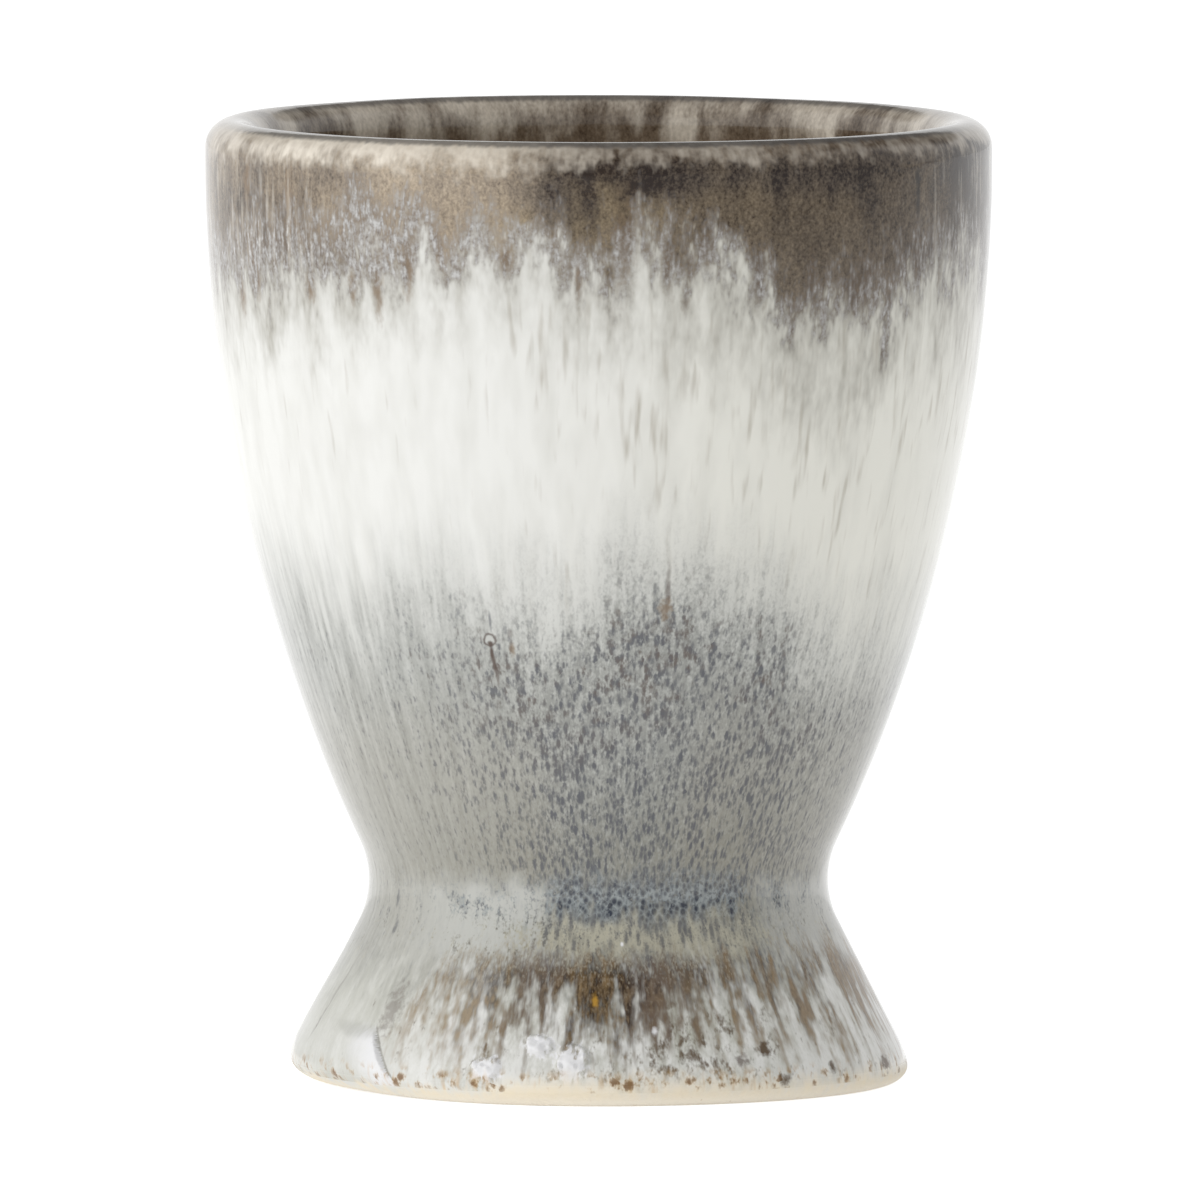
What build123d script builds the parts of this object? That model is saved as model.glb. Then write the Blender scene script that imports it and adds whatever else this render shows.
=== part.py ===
from build123d import *

import os
from math import asin, cos, degrees, radians, sin, tan

# Footed egg cup in reactive-glazed stoneware. A stoneware bowl is stuck on a flared stoneware foot ring with
# slip, and the glaze lies over both as a thin coat of glass, one shell for each dip. The ring that the cup
# stands on is wiped clean of glaze. Millimetres, +Z up, origin at the middle of the ring's resting plane.

# Bowl, measured on the fired glaze
height = 60.0  # resting plane to the top of the lip
rim_diameter = 49.0  # outside of the lip, the widest place
lip_thickness = 3.5  # across the lip, which is fully rounded
side_radius = 101.5  # the outside is one arc from the lip to the waist
mouth_land = 5.0  # upright stretch inside the mouth, which steadies the egg
inner_side_radius = 74.0  # the hollow's side below the mouth land
floor_height = 16.5  # the hollow's floor above the resting plane
floor_corner_radius = 8.0  # round between the floor and the hollow's side

# Foot, measured on the fired glaze
waist_radius = 5.6  # hollow round where the bowl meets the foot
foot_diameter = 38.2  # the widest place of the foot
foot_edge_radius = 1.9  # round at the foot's outer edge
flare_angle = 27.0  # the foot's side, in degrees from upright
foot_wall = 5.0  # across the foot's wall
recess_height = 11.6  # the hollow under the foot, up from the resting plane
recess_corner_radius = 3.0  # round between the hollow's side and its top
ring_edge_radius = 0.9  # round at the foot ring's inner edge

# Joint between bowl and foot
seat_apex_height = 9.5  # where the seat's cone would meet the axis
seat_angle = 12.0  # the seat falls towards the axis and centres the bowl, degrees
slip_thickness = 0.4

# Glaze
glaze_thickness = 0.45
wipe_height = 0.9  # below this the foot is wiped clean
foot_band_top = 9.0  # the brown foot dip ends here
lower_band_top = 30.5  # the grey, flecked stretch ends here
body_band_top = 50.5  # the white stretch ends and the brown rim dip begins

# Worked-out places: x is the distance from the axis and y the height
rim_radius = rim_diameter / 2
lip_middle_height = height - lip_thickness / 2
mouth_radius = rim_radius - lip_thickness
land_foot_height = lip_middle_height - mouth_land
dip_base = -glaze_thickness  # a coat all over would reach this far under the wiped ring
flare = radians(flare_angle)
edge_half_angle = (radians(90) - flare) / 2
foot_corner_x = foot_diameter / 2 + foot_edge_radius * (1 / tan(edge_half_angle) - 1)
wall_across = foot_wall / cos(flare)
ring_corner_x = foot_corner_x - wall_across
recess_top_x = ring_corner_x - (recess_height - dip_base) * tan(flare)
inner_side_angle = degrees(asin((land_foot_height - floor_height) / inner_side_radius))


def corner(sketch, x, y):
    """The vertex of a sketch that is nearest to a place."""
    return sketch.vertices().sort_by_distance((x, y, 0))[0]


# Half cross-section of the ware as if the glaze covered it all over
with BuildSketch(Plane.XZ) as dipped_section:
    with BuildLine() as outline:
        side_middle = (rim_radius - side_radius, lip_middle_height)
        whole_side = CenterArc(side_middle, side_radius, -90, 90, mode=Mode.PRIVATE)
        flare_line = IntersectingLine((foot_corner_x, dip_base), (-sin(flare), cos(flare)), whole_side)
        waist = flare_line @ 1
        side = RadiusArc(waist, (rim_radius, lip_middle_height), -side_radius)
        lip = JernArc(side @ 1, (0, 1), lip_thickness / 2, 180)
        land = Line(lip @ 1, (mouth_radius, land_foot_height))
        inner_side = JernArc(land @ 1, (0, -1), inner_side_radius, -inner_side_angle)
        floor_edge = inner_side @ 1
        Polyline(
            floor_edge,
            (0, floor_height),
            (0, recess_height),
            (recess_top_x, recess_height),
            (ring_corner_x, dip_base),
            (foot_corner_x, dip_base),
        )
    make_face()
    fillet(corner(dipped_section, waist.X, waist.Y), waist_radius)
    fillet(corner(dipped_section, floor_edge.X, floor_edge.Y), floor_corner_radius)
    fillet(corner(dipped_section, recess_top_x, recess_height), recess_corner_radius)
    fillet(corner(dipped_section, ring_corner_x, dip_base), ring_edge_radius)
    fillet(corner(dipped_section, foot_corner_x, dip_base), foot_edge_radius)

# Half cross-section of the clay inside that coat, offset as a whole so that the axis gets no coat
with BuildSketch(Plane.XZ) as clay_section:
    add(dipped_section.sketch_local)
    mirror(about=Plane.YZ)
    offset(amount=-glaze_thickness)
    split(bisect_by=Plane.YZ)

with BuildSketch(Plane.XZ) as coat_section:
    add(dipped_section.sketch_local)
    add(clay_section.sketch_local, mode=Mode.SUBTRACT)


def seat_height(x):
    """Height of the foot's seat at a distance from the axis."""
    return seat_apex_height + x * tan(radians(seat_angle))


def clay_between(low_lift, high_lift):
    """The clay's cross-section between two surfaces that are lifted off the foot's seat."""
    with BuildSketch(Plane.XZ) as cut:
        add(clay_section.sketch_local)
        with BuildLine():
            Polyline(
                (0, seat_height(0) + low_lift),
                (rim_radius, seat_height(rim_radius) + low_lift),
                (rim_radius, seat_height(rim_radius) + high_lift),
                (0, seat_height(0) + high_lift),
                close=True,
            )
        make_face(mode=Mode.INTERSECT)
    return cut.sketch.faces()


def coat_between(low, high):
    """The coat's cross-sections between two heights, the nearest to the axis first."""
    with BuildSketch(Plane.XZ) as band:
        add(coat_section.sketch_local)
        with Locations((0, low)):
            Rectangle(rim_diameter, high - low, align=(Align.MIN, Align.MIN), mode=Mode.INTERSECT)
    return band.sketch.faces().sort_by(Axis.X)


with BuildPart() as bowl:
    revolve(clay_between(slip_thickness, height), axis=Axis.Z)

with BuildPart() as joint_slip:
    revolve(clay_between(0, slip_thickness), axis=Axis.Z)

with BuildPart() as foot:
    revolve(clay_between(-height, 0), axis=Axis.Z)

with BuildPart() as rim_glaze:
    revolve(coat_between(body_band_top, height), axis=Axis.Z)

with BuildPart() as body_glaze:
    revolve(coat_between(lower_band_top, body_band_top)[-1], axis=Axis.Z)

with BuildPart() as lower_glaze:
    revolve(coat_between(foot_band_top, lower_band_top)[-1], axis=Axis.Z)

with BuildPart() as foot_glaze:
    revolve(coat_between(wipe_height, foot_band_top)[-1], axis=Axis.Z)

with BuildPart() as liner_glaze:
    revolve(coat_between(floor_height - glaze_thickness, body_band_top)[0], axis=Axis.Z)

with BuildPart() as underside_glaze:
    revolve(coat_between(wipe_height, recess_height + glaze_thickness)[0], axis=Axis.Z)

pieces = {
    "bowl": bowl,
    "joint_slip": joint_slip,
    "foot": foot,
    "rim_glaze": rim_glaze,
    "body_glaze": body_glaze,
    "lower_glaze": lower_glaze,
    "foot_glaze": foot_glaze,
    "liner_glaze": liner_glaze,
    "underside_glaze": underside_glaze,
}
os.makedirs("parts", exist_ok=True)
for name, piece in pieces.items():
    piece.part.label = name
    export_step(piece.part, f"parts/{name}.step")
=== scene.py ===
from itertools import product
from math import asin, atan2, cos, pi, radians, sin, sqrt, tan

import bpy
import numpy as np
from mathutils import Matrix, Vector


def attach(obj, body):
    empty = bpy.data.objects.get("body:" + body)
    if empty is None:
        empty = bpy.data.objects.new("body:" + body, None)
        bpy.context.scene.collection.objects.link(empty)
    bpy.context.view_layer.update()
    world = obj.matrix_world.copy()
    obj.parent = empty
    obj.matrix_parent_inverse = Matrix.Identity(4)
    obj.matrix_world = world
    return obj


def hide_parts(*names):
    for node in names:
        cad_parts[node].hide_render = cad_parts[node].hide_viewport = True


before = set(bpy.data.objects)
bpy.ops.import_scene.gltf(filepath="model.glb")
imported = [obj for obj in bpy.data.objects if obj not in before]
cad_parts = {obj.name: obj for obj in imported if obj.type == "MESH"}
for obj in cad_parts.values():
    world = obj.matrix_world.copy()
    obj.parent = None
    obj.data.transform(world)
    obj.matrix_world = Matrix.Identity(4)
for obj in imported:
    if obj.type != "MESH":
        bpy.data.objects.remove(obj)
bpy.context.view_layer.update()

MM = 0.001

# The glazed outline of the cup, as the solids have it
HEIGHT = 60.0 * MM
RIM_RADIUS = 24.5 * MM
LIP_THICKNESS = 3.5 * MM
SIDE_RADIUS = 101.5 * MM
MOUTH_LAND = 5.0 * MM
INNER_SIDE_RADIUS = 74.0 * MM
FLOOR_HEIGHT = 16.5 * MM
FLOOR_CORNER_RADIUS = 8.0 * MM
WAIST_RADIUS = 5.6 * MM
FOOT_RADIUS = 19.1 * MM
FOOT_EDGE_RADIUS = 1.9 * MM
FLARE = radians(27.0)
FOOT_WALL = 5.0 * MM
RECESS_HEIGHT = 11.6 * MM
RECESS_CORNER_RADIUS = 3.0 * MM
RING_EDGE_RADIUS = 0.9 * MM
SEAT_APEX_HEIGHT = 9.5 * MM
SEAT_ANGLE = radians(12.0)
GLAZE_THICKNESS = 0.45 * MM
WIPE_HEIGHT = 0.9 * MM
FOOT_BAND_TOP = 9.0 * MM
LOWER_BAND_TOP = 30.5 * MM
BODY_BAND_TOP = 50.5 * MM
SIDE_CENTRE = (RIM_RADIUS - SIDE_RADIUS, HEIGHT - LIP_THICKNESS / 2)
EDGE_CENTRE = (FOOT_RADIUS - FOOT_EDGE_RADIUS, FOOT_EDGE_RADIUS - GLAZE_THICKNESS)
FLARE_START = (
    EDGE_CENTRE[0] + FOOT_EDGE_RADIUS * cos(FLARE),
    EDGE_CENTRE[1] + FOOT_EDGE_RADIUS * sin(FLARE),
)

# The glaze's relief
SWELL = 0.05 * MM
SWELL_SIZE = 9.0 * MM
LUMPS = (  # degrees right of the front, then height, half width and half height in millimetres
    (-21.4, 2.3, 0.85, 0.62),
    (-11.7, 3.8, 0.75, 0.6),
    (-5.2, 2.7, 0.95, 0.9),
)
LUMP_EDGE = (1.05, 0.8)  # where a lump starts and where it is whole, in half widths from its middle
LUMP_RAGGEDNESS = 0.5
LUMP_RAGGED_SIZE = 0.9 * MM
LUMP_RISE = 0.12 * MM
WRINKLE_RISE = 0.4 * MM
WRINKLE_SIZE = 0.6 * MM
SMALL_WRINKLE_SIZE = 0.3 * MM
SMALL_WRINKLE_SHARE = 0.5
FOLD_FOOT_DEGREES = -38.5  # where the folded edge of glaze reaches the resting plane
FOLD_LEAN_DEGREES = -2.6  # and how far it leans to the right in each millimetre on its way up
FOLD_TOP = 4.7 * MM
FOLD_WHOLE_TOP = 3.29 * MM
FOLD_RISE = 0.35 * MM
FOLD_SPREAD = 6.0 * MM
FOLD_WHOLE_SPREAD = 1.8 * MM
FOLD_EDGE_WIDTH = 0.13 * MM
FOLD_WAVER = 0.12 * MM
FOLD_WAVER_SIZE = 1.5 * MM
DARK_REFLECTION_FOOT_DEGREES = -76.5  # the same for a thin dark line of painted reflection near the foot's left edge
DARK_REFLECTION_LEAN_DEGREES = 0.8

# Factors and shifts that scatter the relief's noise
SEED_FACTOR = 668265263
CELL_FACTORS = (73856093, 19349663, 83492791)
SCATTER = ((13, 1274126177), (16, 2246822519))
KEY_MASK = 0x7FFFFFFF

# The foot's outer edge is a larger round on the left than on the right
EDGE_ROUND_DEPTH = 1.3 * MM
LEFT_ROUND_DEPTH = 2.4 * MM
LEFT_ROUND_TURN = radians(-64.0)
LEFT_ROUND_NARROWNESS = 6
EDGE_ROUND_HEIGHT = 1.55 * MM
EDGE_ROUND_HEIGHT_SWING = 0.4 * MM
EDGE_REACH = 19.28 * MM
EDGE_BLEND = 0.6 * MM
LEFT_BULGE = 0.25 * MM
LEFT_BULGE_TOP = 9.0 * MM
LEFT_BULGE_WHOLE_TOP = 3.6 * MM

# Meshes
SEGMENTS = 480
FOOT_SEGMENTS = 960
ROW_HEIGHT = 0.3 * MM
FOOT_ROW_HEIGHT = 0.13 * MM
POLE_RADIUS = 0.001 * MM
LEVEL_TOLERANCE = 0.0001 * MM
RING_ROWS = 14
CLAY_ROWS = 40
ROWS_PER_UNDER_ROW = 6
SHARP_ANGLE = radians(40.0)
NORMAL_STEP = 0.01 * MM
SEARCH_POINTS = 20001
TINY = 1e-12
MAP_MARGIN = 0.012
MAP_FACE_SHARE = 0.95

# Glaze patterns are laid out on a cylinder of this radius, in millimetres
ROLL_RADIUS = 20.0
SEED_STEP = 17.3

# Depth of the fine unevenness of glaze and clay
OUTSIDE_PEEL = 0.012 * MM
HOLLOW_PEEL = 0.04 * MM
CLAY_TOOTH = 0.06 * MM
SLIP_TOOTH = 0.05 * MM

# The photograph's view
PHOTO_WIDTH = 1200
RIM_PIXELS = 788
AXIS_PIXEL = 598.5
VIEW_ELEVATION = radians(4.4)
VIEW_DISTANCE = 2.5
VIEW_HEIGHT = 30.0 * MM
SENSOR_WIDTH = 36.0

# Studio
AMBIENT = 0.57
CEILING_SHADE = 0.85
CEILING_LOW = 0.32
CEILING_HIGH = 0.42
CEILING_NEAR_RISE = 0.6
CEILING_SIDES = (0.6, 0.25)
NEAR_SHADE = 0.5
NEAR_TO_RIGHT = 0.6
NEAR_TO_FRONT = 0.8
WORLD_NEAR_REACH = (0.0, 0.8)
FLOOR_NEAR_REACH = (0.1, 0.6)
FLOOR_SIZE = 6.0
FLOOR_COLOUR = (0.88, 0.88, 0.88, 1.0)
FLOOR_ROUGHNESS = 0.9
FLOOR_GLOW = 0.66
FLOOR_LIGHT = 0.18
FLOOR_NEAR_SHADE = 0.6
KEY_PLACE = (-0.9, -0.55, 0.5)
KEY_SIZE = 0.6
KEY_POWER = 5.0
WHITE = (1.0, 1.0, 1.0, 1.0)


# Outline


def point_at(centre, radius, angle):
    """The point of a circle at an angle from the outward direction."""
    return np.array((centre[0] + radius * cos(angle), centre[1] + radius * sin(angle)))


def line(start, end):
    """A straight stretch of outline: its length and a function of the distance along it."""
    start, end = np.array(start), np.array(end)
    length = float(np.linalg.norm(end - start))
    return length, lambda s: start + (end - start) * (s / length)[:, None]


def arc(centre, radius, first, last):
    """A round stretch of outline between two angles: its length and a function of the distance along it."""
    length = radius * abs(last - first)

    def place(s):
        angle = first + (last - first) * s / length
        return np.stack((centre[0] + radius * np.cos(angle), centre[1] + radius * np.sin(angle)), axis=1)

    return length, place


class Outline:
    """Stretches of outline joined end to end; a place on it is found by its distance from the start."""

    def __init__(self, stretches):
        self.stretches = stretches
        self.ends = np.cumsum([length for length, _ in stretches])
        self.length = float(self.ends[-1])

    def places(self, s):
        """Distance from the axis and height at each distance along the outline."""
        s = np.clip(s, 0.0, self.length)
        found = np.zeros((len(s), 2))
        begin = 0.0
        for end, (_, place) in zip(self.ends, self.stretches):
            here = (s >= begin) & (s <= end)
            found[here] = place(s[here] - begin)
            begin = end
        return found

    def normals(self, s):
        """Unit vectors that point out of the ware at each distance along the outline."""
        s = np.clip(s, 0.0, self.length)
        run = self.places(s + NORMAL_STEP) - self.places(s - NORMAL_STEP)
        run /= np.linalg.norm(run, axis=1)[:, None]
        return np.stack((run[:, 1], -run[:, 0]), axis=1)

    def distance_where(self, level, after=0.0):
        """The first distance along the outline, past a given one, where a level crosses zero."""
        s = np.linspace(after, self.length, SEARCH_POINTS)
        found = level(self.places(s))
        crossing = np.nonzero(found[:-1] * found[1:] <= 0)[0][0]
        share = found[crossing] / (found[crossing] - found[crossing + 1])
        return float(s[crossing] + share * (s[crossing + 1] - s[crossing]))

    def distance_at(self, height, after=0.0):
        """The first distance along the outline, past a given one, where it reaches a height."""
        return self.distance_where(lambda places: places[:, 1] - height, after)


def waist_round():
    """Centre of the waist's hollow round, which touches the bowl's side and the foot's flare."""
    upward = np.array((-sin(FLARE), cos(FLARE)))
    start = point_at(EDGE_CENTRE, FOOT_EDGE_RADIUS + WAIST_RADIUS, FLARE)
    offset = start - np.array(SIDE_CENTRE)
    along = offset @ upward
    reach = sqrt(along**2 - offset @ offset + (SIDE_RADIUS + WAIST_RADIUS) ** 2)
    return start - (reach + along) * upward


def outer_outline():
    """From the wiped edge of the foot up the outside, over the lip and down to the middle of the floor."""
    lip_centre = (RIM_RADIUS - LIP_THICKNESS / 2, HEIGHT - LIP_THICKNESS / 2)
    waist_centre = waist_round()
    side_low = atan2(waist_centre[1] - SIDE_CENTRE[1], waist_centre[0] - SIDE_CENTRE[0])
    mouth_radius = RIM_RADIUS - LIP_THICKNESS
    land_foot = lip_centre[1] - MOUTH_LAND
    inner_centre = (mouth_radius - INNER_SIDE_RADIUS, land_foot)
    corner_height = FLOOR_HEIGHT + FLOOR_CORNER_RADIUS
    corner_reach = INNER_SIDE_RADIUS - FLOOR_CORNER_RADIUS
    corner_radius = inner_centre[0] + sqrt(corner_reach**2 - (land_foot - corner_height) ** 2)
    corner_centre = (corner_radius, corner_height)
    inner_low = atan2(corner_height - land_foot, corner_centre[0] - inner_centre[0])
    wipe_angle = asin((WIPE_HEIGHT - EDGE_CENTRE[1]) / FOOT_EDGE_RADIUS)
    return Outline([
        arc(EDGE_CENTRE, FOOT_EDGE_RADIUS, wipe_angle, FLARE),
        line(FLARE_START, point_at(waist_centre, -WAIST_RADIUS, FLARE)),
        arc(waist_centre, WAIST_RADIUS, pi + FLARE, pi + side_low),
        arc(SIDE_CENTRE, SIDE_RADIUS, side_low, 0.0),
        arc(lip_centre, LIP_THICKNESS / 2, 0.0, pi),
        line((mouth_radius, lip_centre[1]), (mouth_radius, land_foot)),
        arc(inner_centre, INNER_SIDE_RADIUS, 0.0, inner_low),
        arc(corner_centre, FLOOR_CORNER_RADIUS, inner_low, -pi / 2),
        line((corner_centre[0], FLOOR_HEIGHT), (0.0, FLOOR_HEIGHT)),
    ])


def recess_corners():
    """Centre of the round at the top of the foot's hollow, and where its side meets the glaze's base."""
    edge_half_angle = (pi / 2 - FLARE) / 2
    foot_corner = FOOT_RADIUS + FOOT_EDGE_RADIUS * (1 / tan(edge_half_angle) - 1)
    ring_corner = foot_corner - FOOT_WALL / cos(FLARE)
    corner_height = RECESS_HEIGHT - RECESS_CORNER_RADIUS
    wall_at_corner = ring_corner - (corner_height + GLAZE_THICKNESS) * tan(FLARE)
    return (wall_at_corner - RECESS_CORNER_RADIUS / cos(FLARE), corner_height), ring_corner


def recess_outline():
    """From the middle of the hollow under the foot out and down to the wiped inner edge of the foot ring."""
    corner_centre, ring_corner = recess_corners()
    wall_at_wipe = ring_corner - (WIPE_HEIGHT + GLAZE_THICKNESS) * tan(FLARE)
    return Outline([
        line((0.0, RECESS_HEIGHT), (corner_centre[0], RECESS_HEIGHT)),
        arc(corner_centre, RECESS_CORNER_RADIUS, pi / 2, FLARE),
        line(point_at(corner_centre, RECESS_CORNER_RADIUS, FLARE), (wall_at_wipe, WIPE_HEIGHT)),
    ])


def above_seat(places):
    """How far places lie above the seat that the bowl is stuck to."""
    return places[:, 1] - SEAT_APEX_HEIGHT - places[:, 0] * tan(SEAT_ANGLE)


def clay_outlines():
    """The foot's clay inside the coat: its outside up from the resting plane, and its hollow down to it."""
    edge_radius = FOOT_EDGE_RADIUS - GLAZE_THICKNESS
    waist_centre = waist_round()
    waist_radius = WAIST_RADIUS + GLAZE_THICKNESS
    clay_outside = Outline([
        arc(EDGE_CENTRE, edge_radius, -pi / 2, FLARE),
        line(point_at(EDGE_CENTRE, edge_radius, FLARE), point_at(waist_centre, -waist_radius, FLARE)),
        arc(waist_centre, waist_radius, pi + FLARE, pi - FLARE),
    ])
    corner_centre, ring_corner = recess_corners()
    corner_radius = RECESS_CORNER_RADIUS + GLAZE_THICKNESS
    ring_half_angle = (pi / 2 + FLARE) / 2
    ring_radius = RING_EDGE_RADIUS - GLAZE_THICKNESS
    ring_centre = (ring_corner + RING_EDGE_RADIUS / tan(ring_half_angle), RING_EDGE_RADIUS - GLAZE_THICKNESS)
    clay_recess = Outline([
        arc(corner_centre, corner_radius, pi / 2, FLARE),
        line(point_at(corner_centre, corner_radius, FLARE), point_at(ring_centre, -ring_radius, FLARE)),
        arc(ring_centre, ring_radius, pi + FLARE, 3 * pi / 2),
    ])
    return clay_outside, clay_recess


# Relief


def smooth(value, low, high):
    """Zero at one value and one at the other, with a soft start and end."""
    share = np.clip((value - low) / (high - low), 0.0, 1.0)
    return share**2 * (3 - 2 * share)


def lattice_noise(x, y, z, seed):
    """Smooth noise from -1 to 1 with one swing to a unit cell, the same on every run."""
    cells = [np.floor(v).astype(np.int64) for v in (x, y, z)]
    fades = [(v - c) ** 2 * (3 - 2 * (v - c)) for v, c in zip((x, y, z), cells)]
    total = np.zeros_like(x)
    for corner in product((0, 1), repeat=3):
        key = np.full(x.shape, seed * SEED_FACTOR, dtype=np.int64)
        weight = np.ones_like(x)
        for cell, fade, step, factor in zip(cells, fades, corner, CELL_FACTORS):
            key ^= (cell + step) * factor
            weight = weight * (fade if step else 1 - fade)
        for shift, factor in SCATTER:
            key = (key ^ (key >> shift)) * factor & KEY_MASK
        total += weight * (key / (KEY_MASK // 2) - 1)
    return total


def ripple(radius, height, turn, size, seed):
    """Noise over the ware with swings of about one size."""
    return lattice_noise(radius * np.sin(turn) / size, -radius * np.cos(turn) / size, height / size, seed)


def swell(radius, height, turn):
    """The hand-made unevenness that the whole cup has."""
    return SWELL * ripple(radius, height, turn, SWELL_SIZE, 1)


def lumps(radius, height, turn):
    """Wrinkled lumps where the glaze crawled together on the foot."""
    ragged = LUMP_RAGGEDNESS * ripple(radius, height, turn, LUMP_RAGGED_SIZE, 2)
    small_creases = np.abs(ripple(radius, height, turn, SMALL_WRINKLE_SIZE, 6))
    creases = np.abs(ripple(radius, height, turn, WRINKLE_SIZE, 3)) + SMALL_WRINKLE_SHARE * small_creases
    rise = np.zeros_like(radius)
    for degrees, middle, half_width, half_height in LUMPS:
        across = radius * (turn - radians(degrees)) / (half_width * MM)
        up = (height - middle * MM) / (half_height * MM)
        lump = smooth(np.hypot(across, up) + ragged, *LUMP_EDGE)
        rise = np.maximum(rise, lump * (LUMP_RISE + WRINKLE_RISE * creases))
    return rise


def fold(radius, height, turn):
    """A flap of glaze on the left of the foot that ends in a curved edge."""
    edge = np.radians(FOLD_FOOT_DEGREES + FOLD_LEAN_DEGREES * height / MM)
    past_edge = radius * (edge - turn)
    past_edge = past_edge + FOLD_WAVER * ripple(radius, height, turn, FOLD_WAVER_SIZE, 4)
    flap = smooth(past_edge, 0.0, FOLD_EDGE_WIDTH) * smooth(past_edge, FOLD_SPREAD, FOLD_WHOLE_SPREAD)
    return FOLD_RISE * flap * smooth(height, FOLD_TOP, FOLD_WHOLE_TOP)


def outer_relief(radius, height, turn):
    """How far the fired glaze stands out from the plain outline on the outside."""
    rise = np.maximum(lumps(radius, height, turn), fold(radius, height, turn))
    off_edge = smooth(height, WIPE_HEIGHT, WIPE_HEIGHT + EDGE_ROUND_HEIGHT)
    return (swell(radius, height, turn) + rise) * off_edge


def flare_at(height):
    """Distance from the axis of the foot's plain flare."""
    return FLARE_START[0] + (FLARE_START[1] - height) * tan(FLARE)


def foot_edge(height, turn):
    """Distance from the axis of the foot's outside: the flare, run into the round of its edge."""
    bulge = smooth(height, LEFT_BULGE_TOP, LEFT_BULGE_WHOLE_TOP)
    flare = flare_at(height) + LEFT_BULGE * np.clip(-np.sin(turn), 0.0, 1.0) * bulge
    on_left = np.clip(np.cos(turn - LEFT_ROUND_TURN), 0.0, 1.0) ** LEFT_ROUND_NARROWNESS
    depth = EDGE_ROUND_DEPTH + LEFT_ROUND_DEPTH * on_left
    top = EDGE_ROUND_HEIGHT - EDGE_ROUND_HEIGHT_SWING * np.sin(turn)
    share = np.clip(1 - height / top, 0.0, 1.0)
    edge = EDGE_REACH - depth * (1 - np.sqrt(1 - share**2))
    blend = np.clip(1 - np.abs(flare - edge) / EDGE_BLEND, 0.0, 1.0)
    return np.minimum(flare, edge) - blend**2 * EDGE_BLEND / 4


def foot_warp(height, turn):
    """How far the foot's outside stands out from the plain outline."""
    below = np.clip(height, 0.0, LEFT_BULGE_TOP)
    round_edge = np.sqrt(np.clip(FOOT_EDGE_RADIUS**2 - (below - EDGE_CENTRE[1]) ** 2, 0.0, None))
    plain = np.where(below > FLARE_START[1], flare_at(below), EDGE_CENTRE[0] + round_edge)
    return np.where(height < LEFT_BULGE_TOP, foot_edge(below, turn) - plain, 0.0)


# Meshes


def ring_normals(points):
    """Normals of a grid of rings, from the places of neighbouring points."""
    around = np.roll(points, -1, axis=1) - np.roll(points, 1, axis=1)
    along = np.gradient(points, axis=0)
    normal = np.cross(around, along)
    return normal / np.maximum(np.linalg.norm(normal, axis=2), TINY)[:, :, None]


def ring_points(outline, s, turns, lift_at, depth, warped):
    """Points on rings round the axis at some depth under the outline, with the relief that lift_at gives."""
    flat = outline.places(s)
    out = outline.normals(s)
    radius = np.repeat(flat[:, :1], len(turns), axis=1)
    height = np.repeat(flat[:, 1:], len(turns), axis=1)
    turn = np.repeat(turns[None, :], len(s), axis=0)
    lift = lift_at(radius, height, turn) - depth if lift_at else -depth
    r = radius + lift * out[:, :1]
    z = height + lift * out[:, 1:]
    if warped:
        r = r + foot_warp(height, turn)
    return np.stack((r * np.sin(turn), -r * np.cos(turn), z), axis=2)


def face_corners(low, high):
    """How far along the turn and up a face's corners are, between rings that may be a vertex on the axis."""
    if len(low) == 1:
        return ((0.5, 0), (1, 1), (0, 1))
    if len(high) == 1:
        return ((0, 0), (1, 0), (0.5, 1))
    return ((0, 0), (1, 0), (1, 1), (0, 1))


def between_rings(low, high):
    """The faces between two rings of vertex numbers."""
    if len(low) == 1 and len(high) == 1:
        return []
    rings = (low, high)
    corners = [np.roll(rings[up], -1 if along == 1 else 0) for along, up in face_corners(low, high)]
    return np.stack(np.broadcast_arrays(*corners), axis=1).tolist()


def add_object(name, data):
    """A new object in the scene."""
    added = bpy.data.objects.new(name, data)
    bpy.context.scene.collection.objects.link(added)
    return added


def shell(name, rings):
    """A closed mesh through rings of points, from each to the next and from the last to the first."""
    numbers = []
    first = 0
    for ring in rings:
        numbers.append(np.arange(first, first + len(ring)))
        first += len(ring)
    faces = []
    for low, high in zip(numbers, numbers[1:] + numbers[:1]):
        faces += between_rings(low, high)
    mesh = bpy.data.meshes.new(name)
    mesh.from_pydata(np.concatenate(rings).tolist(), [], faces)
    mesh.polygons.foreach_set("use_smooth", np.ones(len(mesh.polygons), dtype=bool))
    mesh.update()
    return add_object(name, mesh)


def lay_out(piece, rings, face_rows, strips):
    """The map for baking: the face in stacked strips of the turn and, small above them, what is under it."""
    segments = max(len(ring) for ring in rings)
    per_strip = segments // strips
    hidden_rows = len(rings) - face_rows
    faces = np.arange(segments)
    places = []
    for row, (low, high) in enumerate(zip(rings, rings[1:] + rings[:1])):
        if len(low) == 1 and len(high) == 1:
            continue
        corners = np.array(face_corners(low, high))
        if row < face_rows:
            u = (faces[:, None] % per_strip + corners[:, 0]) / per_strip
            inside_strip = MAP_MARGIN + (row + corners[:, 1]) / face_rows * (1 - 2 * MAP_MARGIN)
            v = (faces[:, None] // per_strip + inside_strip) / strips * MAP_FACE_SHARE
        else:
            u = (faces[:, None] + corners[:, 0]) / segments
            hidden = np.broadcast_to(row - face_rows + corners[:, 1], u.shape) / (hidden_rows + 1)
            v = MAP_FACE_SHARE + (1 - MAP_FACE_SHARE) * hidden
        places.append(np.stack((MAP_MARGIN + u * (1 - 2 * MAP_MARGIN), v), axis=2).reshape(-1, 2))
    layer = piece.data.uv_layers.new(name="OFBake")
    layer.uv.foreach_set("vector", np.concatenate(places).ravel())


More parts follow.
